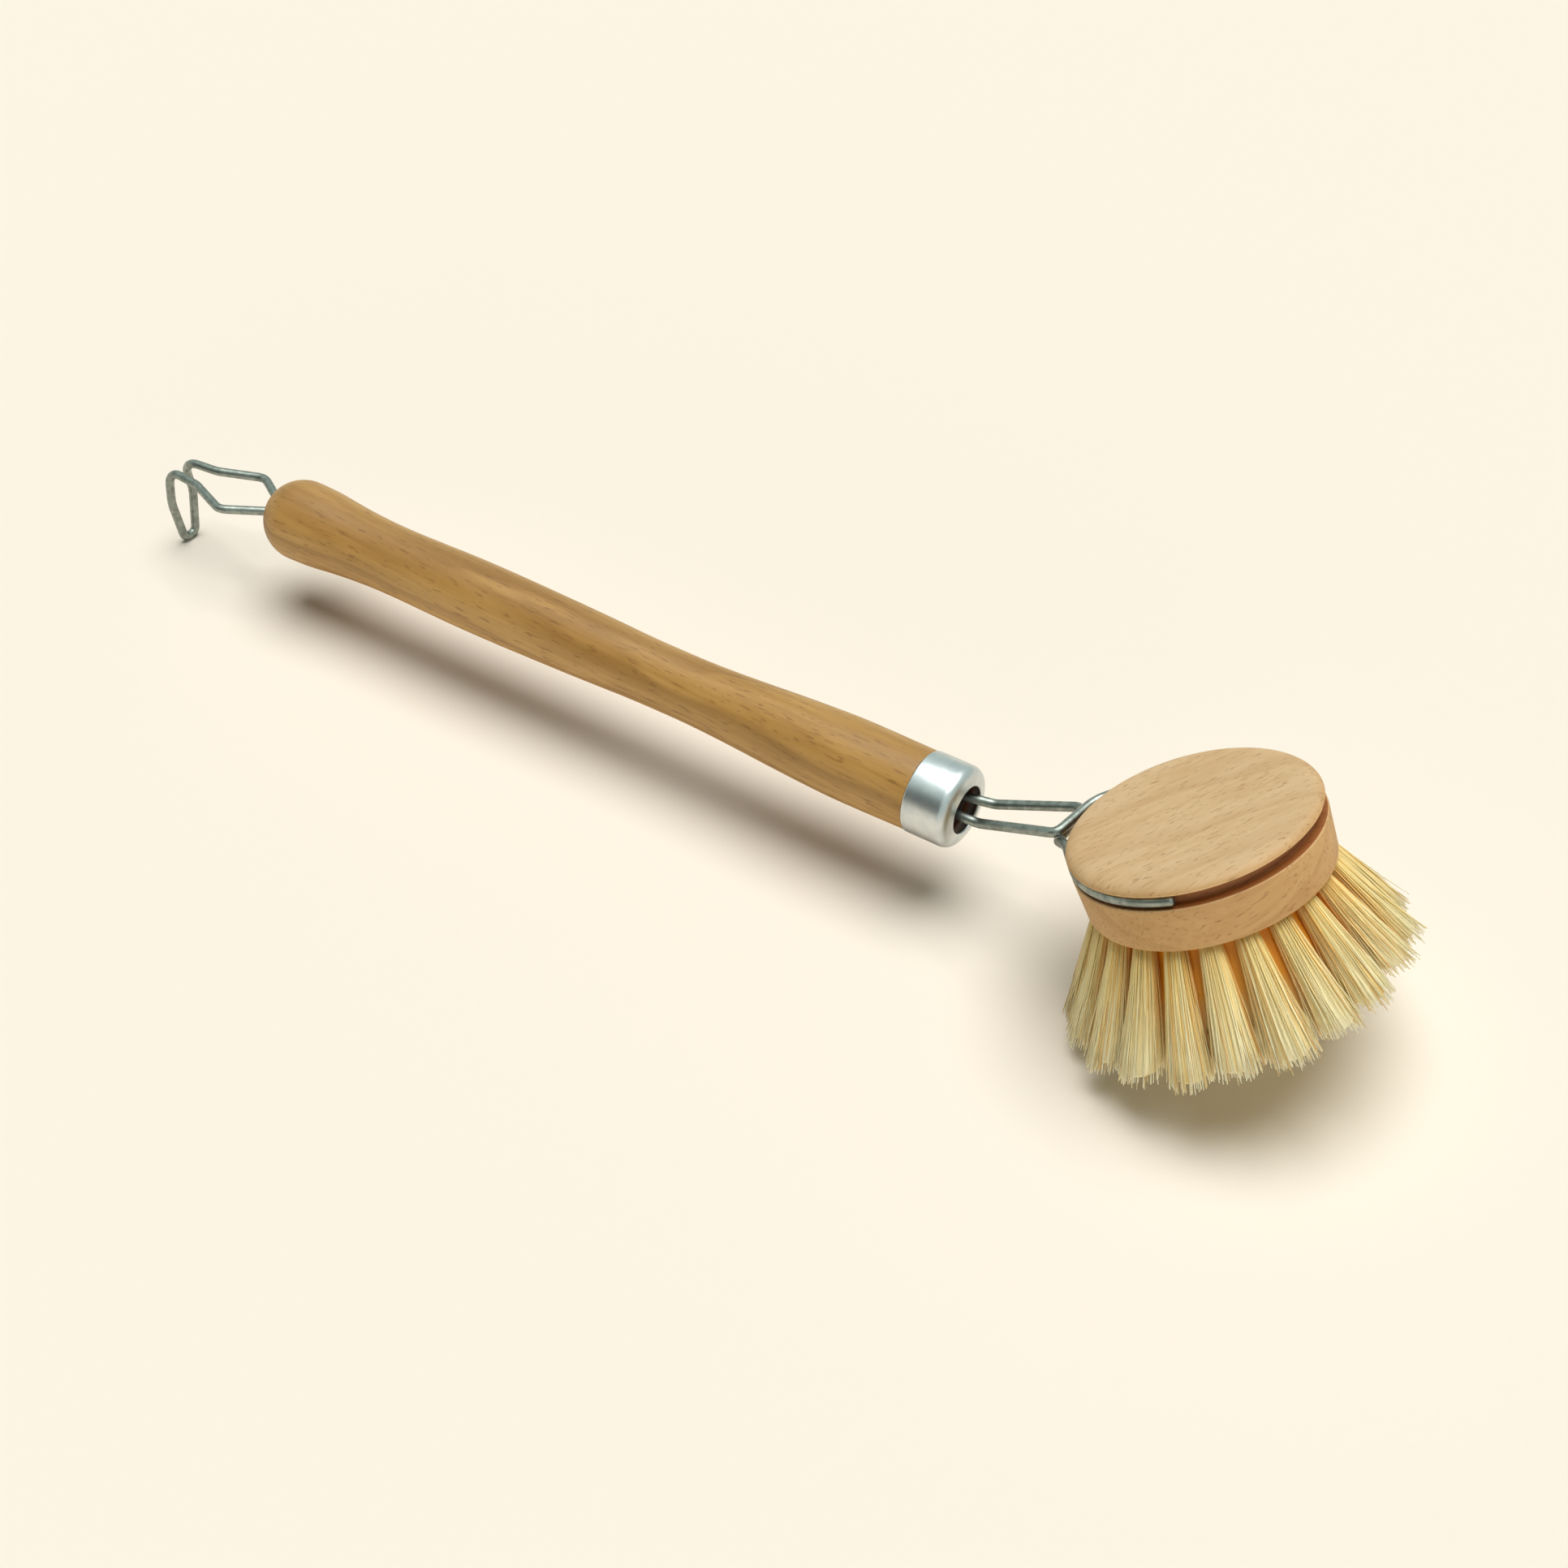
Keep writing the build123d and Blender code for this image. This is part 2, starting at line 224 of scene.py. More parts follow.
# %% [markdown]
# ## Where the lathe cuts across the fibres, and painted shade
# Turned wood is not one tone. Where the tool cut across the fibres they drink more oil and dirt and look
# darker; on the head's turned sides this darker tone is partly painted shade too. A groove or a bore is
# darker still, and that is painted shade, standing in for the shadow in these hollows. A material can't
# know this by itself, so each turned piece keeps one number for every point, worked out from the way that
# the surface faces and from where its hollows are.

# %% Keep the side grain of a turned piece, and painted shade in its hollows
def profile_points(profile, steps):
    """Distance and radius of every point of a turned surface, its two end middles last."""
    profile = np.asarray(profile)
    middles = [[profile[0, 0], 0.0], [profile[-1, 0], 0.0]]
    return np.concatenate([np.repeat(profile, steps, axis=0), middles]).T


def show_grain_and_painted_shade(piece, axis, on_sides, shaded_hollow):
    """Keeps (normal . axis) ** 2, which is 1 on the ends, or one minus it where on_sides is 1.

    Hollows get painted shade: the last argument gives their own value, 2 in a groove and 3 in a bore.
    """
    normals = np.empty(len(piece.data.vertices) * 3, np.float32)
    piece.data.vertices.foreach_get("normal", normals)
    facing = (normals.reshape(-1, 3) @ np.asarray(axis)) ** 2
    keep(piece, "grain_and_painted_shade", np.where(shaded_hollow > 0, shaded_hollow, on_sides + facing - 2 * on_sides * facing))


# %% [markdown]
# ## Handle
# The handle is one turning with a slim waist, a gentle belly and a knob. Its diameters were read off the
# real one at two dozen stations. It could be drawn with a few clean arcs, but a smooth curve through the
# stations keeps the slight unevenness of hand sanding. The front end is bored for the clip wire, and the
# hanging wire's ends are driven into the knob.

# %% Turn the handle
ferrule_length = 9.9
ferrule_wall = 0.7
ferrule_radius = 8.95
ferrule_round = 2.3
bore_radius = 3.5
bore_end = 21.3
bore_mouth_radius = 4.6
bore_mouth_depth = 7.5
knob_station = 181.5
knob_radius = 9.6
knob_length = 9.1
knob_edge_round = 0.6
handle_tip_radius = 0.4
handle_steps = 96
# distance behind the ferrule's front, and diameter there
diameters = {
    9.9: 17.5, 14: 17.6, 21.5: 17.8, 29: 17.8, 36: 17.3, 44: 16.5, 51.5: 15.6, 59: 14.8, 67: 14.25,
    75: 14.2, 83: 14.4, 91: 14.95, 100: 15.5, 108: 15.85, 116.5: 16.2, 125: 16.4, 134: 16.35, 143: 16.0,
    150: 15.8, 156: 15.9, 161: 16.3, 165: 16.8, 170: 17.7, 175: 18.7, 181.5: 19.2,
}
body = smooth_profile(list(diameters), [size / 2 for size in diameters.values()])
flat_edge = math.acos(knob_length / knob_radius)
angle = np.linspace(0, np.pi / 2 - flat_edge, 15)[1:]
knob_end = np.stack([knob_station + knob_radius * np.sin(angle), knob_radius * np.cos(angle)], -1)
front_corners = [
    (bore_end, handle_tip_radius),
    (bore_end, bore_radius),
    (bore_mouth_depth, bore_radius),
    (ferrule_round, bore_mouth_radius),
    (ferrule_round, ferrule_radius - ferrule_wall),
    (ferrule_length, ferrule_radius - ferrule_wall),
    (ferrule_length, body[0, 1]),
    tuple(body[1]),
]
front = rounded(front_corners, [0.3, 0.5, 0.4, 0.2, 0.0, 0.25], steps=4)
back_corners = [tuple(knob_end[-2]), tuple(knob_end[-1]), (knob_end[-1, 0], handle_tip_radius)]
back_end = rounded(back_corners, [knob_edge_round], steps=4)
handle_profile = np.concatenate([front, body[2:-1], knob_end[:-2], back_end])
handle = turned(
    "handle_turning", handle_profile, ferrule_front, backward, sideways, handle_up, handle_steps
)
distance, off_axis = profile_points(handle_profile, handle_steps)
in_bore = (distance < bore_end + 1) & (off_axis < ferrule_radius - 1)
# the wood in the bore gets painted shade, standing in for its shadow
show_grain_and_painted_shade(handle, backward, 0.0, 3 * in_bore)
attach(handle, "handle")
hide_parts("handle")

# %% [markdown]
# ## Ferrule
# The ferrule is a thin cup, deep-drawn from zinc-plated sheet steel and pressed over the front of the
# handle. Its corner is rounded by the die, and the clip wire comes out through its open front. A solid
# disc would hide the bore, so the profile is a closed loop, and the cup has a true wall.

# %% Press the ferrule
opening_radius = 5.2
ferrule_dome = 0.7
spring_back = 0.02
ferrule_steps = 128
inner_radius = ferrule_radius - ferrule_wall
ferrule_profile = rounded(
    [
        (ferrule_length, ferrule_radius + spring_back),
        (0.0, ferrule_radius + spring_back),
        (-ferrule_dome, opening_radius),
        (ferrule_wall - ferrule_dome, opening_radius),
        (ferrule_wall, inner_radius),
        (ferrule_length, inner_radius),
    ],
    [0.3, ferrule_round, 0.3, 0.25, ferrule_round - ferrule_wall, 0.2],
    closed=True,
)
ferrule = turned(
    "ferrule_cup",
    ferrule_profile,
    ferrule_front,
    backward,
    sideways,
    handle_up,
    ferrule_steps,
    closed=True,
)
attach(ferrule, "handle")
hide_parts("ferrule")

# %% [markdown]
# ## Wires
# A bent wire is a circle carried along a path. A curve with a bevel would do it too, but its seams can
# twist, so here the circle's frame is carried from point to point by the smallest turn (parallel
# transport). Cut ends get a small rounding, as a cropped and tumbled wire has.

# %% Carry a circle along a path
def even(path, spacing):
    """The same path with points this far apart, placed by its length."""
    steps = np.linalg.norm(np.diff(path, axis=0), axis=1)
    run = np.concatenate([[0], np.cumsum(steps)])
    moved = np.concatenate([[True], steps > 1e-6])
    path = path[moved]
    run = run[moved]
    places = np.linspace(0, run[-1], int(run[-1] / spacing) + 2)
    return np.stack([np.interp(places, run, path[:, axis]) for axis in range(3)], -1)


def wire(name, path, radius, sides=20, spacing=0.35, cut_end_share=0.72):
    """Point (s, t) = path(s) + r(s) * (cos t * side(s) + sin t * rise(s)); r is less at the cut ends."""
    path = even(path, spacing)
    ahead = np.gradient(path, axis=0)
    ahead /= np.linalg.norm(ahead, axis=1, keepdims=True)
    side = np.cross(ahead[0], [0.0, 0.3, 1.0])
    sides_along = []
    for direction in ahead:
        side = side - direction * (side @ direction)
        side = side / np.linalg.norm(side)
        sides_along.append(side)
    side = np.array(sides_along)
    rise = np.cross(ahead, side)
    turn = np.linspace(0, 2 * np.pi, sides, endpoint=False)
    size = np.full(len(path), radius)
    size[[0, -1]] = radius * cut_end_share
    ring = np.cos(turn)[None, :, None] * side[:, None] + np.sin(turn)[None, :, None] * rise[:, None]
    return skin(name, path[:, None] + size[:, None, None] * ring)


# %% [markdown]
# ## Clip
# One length of galvanised spring wire makes the whole clip. Its hairpin sits at the bottom of the bore,
# its two legs come out of the ferrule, rise over the edge of the head, cross there, and each ends in an
# arc that lies in the head's groove. The legs are separate pieces here because each one springs aside
# when a head is changed. Corners and radii are the bends that a wire-former would set.

# %% Paths of the clip
wire_radius = 1.05
root_half_gap = 2.4
pivot_gap = 0.3
groove_path_radius = 24.0
cut_angle = 109.0
leg_start = clip_bend_ahead + clip_pivot_depth - pivot_gap / 2
tilt_between = math.atan2(-head_up[0], head_up[2]) - math.asin(forward[2])


def behind_bend(distance, side):
    """A point on a line beside the handle's axis, behind the clip's bend, in the head's frame."""
    drop = distance * math.sin(tilt_between)
    return (-clip_bend_reach - distance * math.cos(tilt_between), side, drop)


def groove_entry(angle, side, reach, height):
    """The last two corners of a leg: one on the tangent of its groove arc, then the arc's start."""
    start_x = -groove_path_radius * math.cos(math.radians(angle))
    start_y = groove_path_radius * math.sin(math.radians(angle))
    tangent_y = start_y - (reach + start_x) / math.tan(math.radians(angle))
    return [(-reach, side * tangent_y, height), (start_x, side * start_y, 0)]


def groove_arc(angle, side):
    """Points of a leg's arc in the groove, from where it joins to its cut end."""
    turn = np.radians(180 - side * np.linspace(angle, cut_angle, 60))
    return np.stack([groove_path_radius * np.cos(turn), groove_path_radius * np.sin(turn), 0 * turn], -1)


# %% Bend the clip
# places are (along the brush, sideways, up) from the head's axis at the height of its groove
upper_bend = (-clip_bend_reach, -2.1, 0)
upper_corner = (-28.6, -5.0, 0.7)
upper_angle = 45
upper_reach = 26.9
upper_rise = 0.45
lower_bend = (-clip_bend_reach, 4.8, 0)
lower_corner = (-29.9, 7.3, -1.4)
lower_turn = (-29.9, -3.9, -1.9)
lower_angle = 40
lower_reach = 25.05
lower_rise = -0.3
upper_leg = [behind_bend(leg_start, -root_half_gap), upper_bend, upper_corner]
upper_leg += groove_entry(upper_angle, 1, upper_reach, upper_rise)
lower_leg = [behind_bend(leg_start, root_half_gap), lower_bend, lower_corner, lower_turn]
lower_leg += groove_entry(lower_angle, -1, lower_reach, lower_rise)
legs = []
for name, corners, bends, angle, side, body_name in [
    ("clip_arm_right", upper_leg, [5.0, 1.7, 7.0], upper_angle, 1, "clip_right"),
    ("clip_arm_left", lower_leg, [5.0, 2.0, 2.5, 8.0], lower_angle, -1, "clip_left"),
]:
    path = np.concatenate([rounded(corners, bends), groove_arc(angle, side)[1:]])
    leg = wire(name + "_wire", in_head(path), wire_radius)
    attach(leg, body_name)
    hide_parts(name)
    legs.append(leg)

# %% Bend the hairpin
hairpin_depth = 21.0
straight_end = hairpin_depth - root_half_gap - wire_radius
straight_start = clip_pivot_depth + pivot_gap / 2
half_turn = np.linspace(np.pi / 2, -np.pi / 2, 40)
bend_depth = straight_end + root_half_gap * np.cos(half_turn)
bend_side = root_half_gap * np.sin(half_turn)
hairpin = np.concatenate(
    [
        [(straight_start, root_half_gap, 0)],
        np.stack([bend_depth, bend_side, 0 * half_turn], -1),
        [(straight_start, -root_half_gap, 0)],
    ]
)
root = wire("clip_hairpin_wire", on_handle(hairpin), wire_radius)
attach(root, "handle")
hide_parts("clip_root")

# %% [markdown]
# ## Hanging hook
# The same wire makes the hook. Its two ends are driven into the knob, the legs open to a kite-shaped
# window, close to a neck, and the loop at the end is bent down at a right angle, so that the brush hangs
# flat against a wall. The hook is the same on both sides, so half of the path is given, and the other
# half is its mirror image.

# %% Bend the hook
# corners are (distance behind the ferrule's front, sideways, up): the driven end, the knob, the window's
# widest place, the neck, and the loop's shoulder, side and foot
hook_corners = [
    (176.6, 1.9, 0),
    (191.3, 1.9, 0),
    (201.8, 7.85, 0),
    (213.4, 3.5, 0),
    (224.0, 2.5, 0),
    (224.0, 3.6, -9.4),
    (224.0, 1.85, -20.6),
    (224.0, 0, -20.6),
]
hook_bends = [2.4, 3.8, 8.0, 4.3, 12.0, 1.7]
hook_half = rounded(hook_corners, hook_bends)
hook_path = np.concatenate([hook_half, hook_half[::-1][1:] * [1, -1, 1]])
hook = wire("hanging_hook_wire", on_handle(hook_path), wire_radius)
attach(hook, "handle")
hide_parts("hanging_hook")

# %% [markdown]
# ## Head block
# The head is a turned disc. Its top edge is rounded over, and a groove runs right round it for the clip,
# so the head can be turned to wear its bristles evenly. The lips of the groove are softened by sanding.
# A disc with a bevel would give every edge the same rounding, and a profile gives each its own.

# %% Turn the head block
head_radius = 25.0
base_radius = 24.45
crown_z = 3.35
crown_width = 3.4
crown_stop = 0.12
groove_half = 1.45
groove_floor = 22.65
base_z = -11.05
inner_row_radius = 12.0
middle_radius = 0.5
block_steps = 160
edge = np.linspace(np.pi / 2, crown_stop, 16)
crown_rise = crown_z - groove_half
crown_radii = head_radius - crown_width + crown_width * np.cos(edge)
crown = np.stack([groove_half + crown_rise * np.sin(edge), crown_radii], -1)
lips = rounded(
    [
        tuple(crown[-1]),
        (groove_half, head_radius),
        (groove_half, groove_floor),
        (-groove_half, groove_floor),
        (-groove_half, head_radius),
        (base_z, base_radius),
        (base_z, middle_radius),
    ],
    [0.15, 0.5, 0.5, 0.45, 0.6],
    steps=5,
)
top = [(crown_z, middle_radius), (crown_z, inner_row_radius)]
head_profile = np.concatenate([top, crown, lips])[::-1]
block = turned(
    "head_block_turning", head_profile, head_at, head_up, head_right, sideways, block_steps
)
distance, off_axis = profile_points(head_profile, block_steps)
in_groove = (np.abs(distance) < groove_half + 0.05) & (off_axis < head_radius - 0.25)
# the groove gets painted shade, and the turned sides a darker tone that is partly end grain and partly
# painted shade
show_grain_and_painted_shade(block, head_up, 1.0, 2 * in_groove)
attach(block, "head")
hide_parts("head_block")

# %% [markdown]
# ## Tufts
# Each tuft is a bunch of stiff agave fibres folded over a wire anchor and driven into a drilled hole. The
# holes all point at one place above the head, so the tufts fan out, and each tuft flares by itself as
# well. A real tuft has several hundred fibres, and light hardly gets between them. Particle hair would
# not be a mesh, so each tuft has a solid fluted body, the packed fibres, and some two hundred loose ones
# on it and at its tip. A fibre is a three-sided tube of five straight runs, few enough faces to draw
# thousands of them. All the fibres of a ring are worked out at once.

# %% Measure the tufts
ring_radii = [20.8, 14.8, 9.0, 3.4]
ring_counts = [20, 14, 8, 3]
ring_names = ["outer", "second", "third", "centre"]
bristle_length = 23.3
apex_height = 47.0
hole_radius = 1.85
own_flare = 1.42
# one side of the head is trimmed shorter, most at this angle from the head's right
short_side = 0.5
shorter_by = 2.2
# how far tufts differ: lean and trim in millimetres, flare as a share
lean_spread = 0.5
flare_spread = 0.08
trim_spread = 0.3


def tuft_lines(radius, count, rng):
    """Root, line, lean, flare and trim of each tuft; all lines point away from one place above the base."""
    turn = 2 * np.pi * (np.arange(count) + 0.5) / count
    root = np.stack([radius * np.cos(turn), radius * np.sin(turn), np.full(count, base_z)], -1)
    line = (root - [0, 0, base_z + apex_height]) / apex_height
    lean = rng.normal(0, lean_spread, (count, 2))
    flare = rng.normal(1.0, flare_spread, count)
    shorter = shorter_by * np.clip(np.cos(turn - short_side), 0, 1) * radius / ring_radii[0]
    trim = rng.normal(0, trim_spread, count) - shorter
    return turn, root, line, lean, flare, trim


# the material gives what faces the middle the deeper inner tone: painted bounce light and shade
def inwardness(turn, offset):
    """0 for what faces out of the head, 1 for what faces its middle, from a place across the tuft."""
    outward = offset[..., 0] * np.cos(turn) + offset[..., 1] * np.sin(turn)
    return np.clip(0.45 - 0.75 * outward, 0, 1)


# %% Shape the bodies of the tufts
flutes = 40
flute_depth = 0.05
flute_spread = 0.012
body_radius = 0.93 * hole_radius
body_shares = np.array([-0.05, 0.0, 0.15, 0.32, 0.5, 0.68, 0.84, 0.93, 0.96])
body_draw_in = np.array([1, 1, 1, 1, 1, 1, 1, 0.97, 0.8])


def tuft_bodies(lines, rng):
    """Rows of points of every tuft's body: (tuft, row, flute, 3).

    The radius grows evenly from a little less than the hole's to the flared end, every second flute is a
    little lower, and the last two rows draw in to a rounded end below the tips of the loose fibres.
    """
    turn, root, line, lean, flare, trim = [value[:, None, None] for value in lines]
    share = body_shares[None, :, None]
    draw_in = body_draw_in[None, :, None]
    around = -np.linspace(0, 2 * np.pi, flutes, endpoint=False)[None, None, :]
    lower = 1 - flute_depth * (np.arange(flutes) % 2)[None, None, :]
    groove = lower + rng.normal(0, flute_spread, (len(turn), 1, flutes))
    size = body_radius * (1 + own_flare * flare * np.clip(share, 0, 1)) * draw_in * groove
    down = (bristle_length + trim) * share
    points = root + line * down[..., None]
    outwards = np.stack([np.cos(around), np.sin(around)], -1)
    points = np.broadcast_to(points, size.shape + (3,)).copy()
    points[..., :2] += outwards * size[..., None] + lean * np.clip(share, 0, 1)[..., None] ** 2
    inside = np.broadcast_to(inwardness(turn, outwards), size.shape)
    return points, np.broadcast_to(share, size.shape), inside


# %% Shape the loose fibres
fibres_in_tuft = 190
fibre_radius = 0.15
joints_along = 6
root_depth = 1.2
rim_share = 0.6
rim_places = (0.92, 1.04)
# strays, waves and lengths in millimetres; one fibre in twenty strays much further
stray_spread = 0.30
tame_share = 0.95
wild_stray = 1.6
wave_spread = 0.12
length_spread = 0.4
short_share = 0.4
short_spread = 0.7
thinnest = 0.75
thickest = 1.2
tip_taper = 0.35


def loose_fibres(lines, rng):
    """Corner points of every loose fibre: (fibre, bend, corner, 3).

    Fibre k starts at a random place across its tuft's hole, most often near the rim. Its distance from
    the tuft's line grows evenly with its share of the length, its own stray adds a bend of share ** 2, and
    its tip ends near the plane to which the head is trimmed, a little shorter on one side.
    """
    turn, root, line, lean, flare, trim = [np.repeat(value, fibres_in_tuft, axis=0) for value in lines]
    total = len(turn)
    place = rng.uniform(0, 2 * np.pi, total)
    at_rim = rng.uniform(0, 1, total) < rim_share
    near_rim = rng.uniform(*rim_places, total)
    anywhere = np.sqrt(rng.uniform(0, 1, total))
    out = np.where(at_rim, near_rim, anywhere)
    offset = out[:, None] * np.stack([np.cos(place), np.sin(place)], -1)
    stray = rng.normal(0, stray_spread, (total, 2))
    wild = rng.uniform(0, 1, total) > tame_share
    stray = stray * (1 + wild_stray * wild)[:, None]
    length = bristle_length + trim + rng.normal(0, length_spread, total)
    length = length - short_share * np.abs(rng.normal(0, short_spread, total))
    share = np.linspace(0, 1, joints_along)[None, :, None]
    down = -root_depth + (length[:, None, None] + root_depth) * share
    points = root[:, None] + line[:, None] * down
    wave = rng.normal(0, wave_spread, (total, joints_along, 2)) * share
    points[..., :2] += hole_radius * offset[:, None] * (1 + own_flare * flare[:, None, None] * share)
    points[..., :2] += (stray + lean)[:, None] * share**2 + wave
    ahead = np.gradient(points, axis=1)
    ahead /= np.linalg.norm(ahead, axis=2, keepdims=True)
    side = np.cross(ahead, rng.normal(0, 1, (total, 1, 3)))
    side /= np.linalg.norm(side, axis=2, keepdims=True)
    rise = np.cross(ahead, side)
    own_size = fibre_radius * rng.uniform(thinnest, thickest, (total, 1, 1, 1))
    size = own_size * (1 - tip_taper * share[..., None] ** 3)
    corner = np.linspace(0, 2 * np.pi, 3, endpoint=False)[None, None, :, None]
    spokes = np.cos(corner) * side[:, :, None] + np.sin(corner) * rise[:, :, None]
    rings = points[:, :, None] + size * spokes
    shares = np.broadcast_to(share, (total, joints_along, 3))
    inside = np.broadcast_to(inwardness(turn, offset)[:, None, None], shares.shape)
    return rings, shares, inside


# %% [markdown]
# ## Rings of tufts
# Every ring is one mesh, as one row of holes is filled in one pass of the machine. A tuft's body has
# hundreds of faces and a fibre has a few dozen, and copies of one face table make them all. The brush
# rests on its rear fibres, and what reaches the floor bends flat on it.

# %% Faces of many tubes, and fibres on the floor
def tube_faces(tubes, rows, around, first):
    """Quads and end fans of many tubes at once, each with this many rows of points from point first on."""
    row = np.arange(rows - 1)[:, None]
    quads = bands(row, row + 1, around)
    middle = np.arange(1, around - 1)
    last = (rows - 1) * around
    first_cap = np.stack([0 * middle, middle + 1, middle], -1)
    last_cap = np.stack([0 * middle + last, last + middle, last + middle + 1], -1)
    caps = np.concatenate([first_cap, last_cap])
    starts = (first + np.arange(tubes) * rows * around)[:, None, None]
    return (quads[None] + starts).reshape(-1, 4), (caps[None] + starts).reshape(-1, 3)


def lie_down(points):
    """Points under 0.25 mm lie at 0.32 mm, less 0.06 of how far they went below 0.2 mm, 2 mm at most."""
    below = (points[..., 2] - 0.2).clip(-2, 0)
    points[..., 2] = np.where(points[..., 2] < 0.25, 0.32 + 0.06 * below, points[..., 2])
    return points


# %% Grow the rings of tufts
def fibre_ring(name, radius, count, depth, seed):
    """One ring of tufts, bodies and loose fibres, as a single mesh.

    It keeps how far along its fibre each point is, how light that fibre is, and how far inside the head.
    """
    rng = np.random.default_rng(seed)
    lines = tuft_lines(radius, count, rng)
    body, body_share, body_inside = tuft_bodies(lines, rng)
    loose, loose_share, loose_inside = loose_fibres(lines, rng)
    first = body.reshape(-1, 3).shape[0]
    body_quads, body_caps = tube_faces(count, len(body_shares), flutes, 0)
    loose_quads, loose_caps = tube_faces(count * fibres_in_tuft, joints_along, 3, first)
    points = lie_down(in_head(np.concatenate([body.reshape(-1, 3), loose.reshape(-1, 3)])))
    quads = np.concatenate([body_quads, loose_quads])
    piece = surface(name, points, quads, np.concatenate([body_caps, loose_caps]))
    body_shade = np.broadcast_to(rng.uniform(0, 1, (count, 1, flutes)), body_share.shape)
    loose_shade = np.repeat(rng.uniform(0, 1, count * fibres_in_tuft), joints_along * 3)
    inside = np.concatenate([body_inside.ravel(), loose_inside.ravel()])
    keep(piece, "along_fibre", np.concatenate([body_share.ravel(), loose_share.ravel()]))
    keep(piece, "fibre_shade", np.concatenate([body_shade.ravel(), loose_shade]))
    keep(piece, "depth_inside", np.maximum(inside, depth))
    return piece


# %% Pack fibres between the outer two rings
packed_radii = (19.5, 18.4)
packed_shares = np.array([-0.04, 0.1, 0.25, 0.4, 0.55, 0.68, 0.74])
packed_columns = 260
packed_rough = 0.006
darkest_packed = 0.2


def packed_fibres(name, seed):
    """The closed ring of fibres crammed between the outer two rings of tufts.

    Its section is a closed loop: down along the holes' line at one radius, and back up a little nearer
    the middle. The radius at distance d below the base grows as 1 + d / apex_height. Each ring of points
    is reversed, so that the faces point outwards.
    """
    rng = np.random.default_rng(seed)
    shares = np.concatenate([packed_shares, packed_shares[::-1]])
    down = bristle_length * shares
    radius = np.repeat(packed_radii, len(packed_shares)) * (1 + down / apex_height)
    turn = np.linspace(0, 2 * np.pi, packed_columns, endpoint=False)
    rough = 1 + packed_rough * rng.normal(0, 1, packed_columns)
    outwards = np.stack([np.cos(turn), np.sin(turn)], -1) * rough[:, None]
    rows = np.zeros((len(down), packed_columns, 3))
    rows[..., :2] = radius[:, None, None] * outwards
    rows[..., 2] = (base_z - down)[:, None]
    piece = skin(name, in_head(rows)[:, ::-1], closed=True)
    keep(piece, "along_fibre", np.repeat(shares, packed_columns))
    keep(piece, "fibre_shade", np.tile(rng.uniform(darkest_packed, 1, packed_columns), len(down)))
    # every point takes the inner tone: painted bounce light and shade seen in the gaps
    keep(piece, "depth_inside", np.ones(len(down) * packed_columns))
    return piece


# %% Fill the head
packed_ring = packed_fibres("packed_fibre_ring", 31)
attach(packed_ring, "head")
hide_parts("bristles_second")
tufts = [packed_ring]
for order, (name, radius, count) in enumerate(zip(ring_names, ring_radii, ring_counts)):
    ring = fibre_ring("tufts_" + name, radius, count, min(order, 1), 11 + order)
    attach(ring, "head")
    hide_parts("bristles_" + name)
    tufts.append(ring)

# %% [markdown]
# ## Materials
# A finish is a small network of nodes. One helper adds a node, sets its inputs and links them, and one
# turns the sRGB colours that a colour picker gives into the linear light that the shader works in.

# %% Helpers for materials
def linear(code):
    """Linear RGB and alpha of an sRGB hex colour: c / 12.92, or ((c + 0.055) / 1.055) ** 2.4."""
    channels = [int(code[place : place + 2], 16) / 255 for place in (1, 3, 5)]
    return tuple(c / 12.92 if c <= 0.04045 else ((c + 0.055) / 1.055) ** 2.4 for c in channels) + (1.0,)


def add(tree, kind, inputs=None, stops=(), **settings):
    """Adds a node. An input is a value or a socket to link to, and stops are a ramp's (place, colour)."""
    new = tree.nodes.new("ShaderNode" + kind)
    for label, value in settings.items():
        setattr(new, label, value)
    for label, value in (inputs or {}).items():
        if isinstance(value, bpy.types.NodeSocket):
            tree.links.new(value, new.inputs[label])
        else:
            new.inputs[label].default_value = value
    if stops:
        while len(new.color_ramp.elements) < len(stops):
            new.color_ramp.elements.new(0.5)
        for element, (place, colour) in zip(new.color_ramp.elements, stops):
            element.position = place
            element.color = linear(colour)
    return new


def finish_named(name):
    """An empty material with its output node, and the tree to fill."""
    material = bpy.data.materials.new(name)
    material.use_nodes = True
    material.node_tree.nodes.clear()
    return material, material.node_tree, add(material.node_tree, "OutputMaterial")


# %% [markdown]
# ## Beech
# Beech is a close wood whose rays show as short dark dashes along the grain, about 2 mm long and a
# quarter of a millimetre wide, over faint growth layers a few millimetres apart. An image of wood would
# show seams, so the pattern is made in space. It cuts through a turned shape as real layers do and gives
# the long curved figures on a handle. The handle is oiled, darker and a little glossy. The head is left
# raw and paler.

# %% Beech, oiled and raw
# sizes across the grain in millimetres, and how much of that scale is left along it; real fibres are a
# few hundredths of a millimetre wide, and their streaks are drawn coarser, to show
streak_mm = 1.111
streak_along = 0.045
cloud_mm = 7.692
cloud_along = 0.22
drift_mm = 16.67
drift_reach_mm = 10.0
ray_mm = 0.5263
ray_along = 0.13
grain_depth_mm = 0.1
# the groove's and the bore's tones are painted shade for these hollows
painted_groove_shade = "#b98a5c"
painted_bore_shade = "#4a3626"
WHITE = "#ffffff"
BLACK = "#000000"


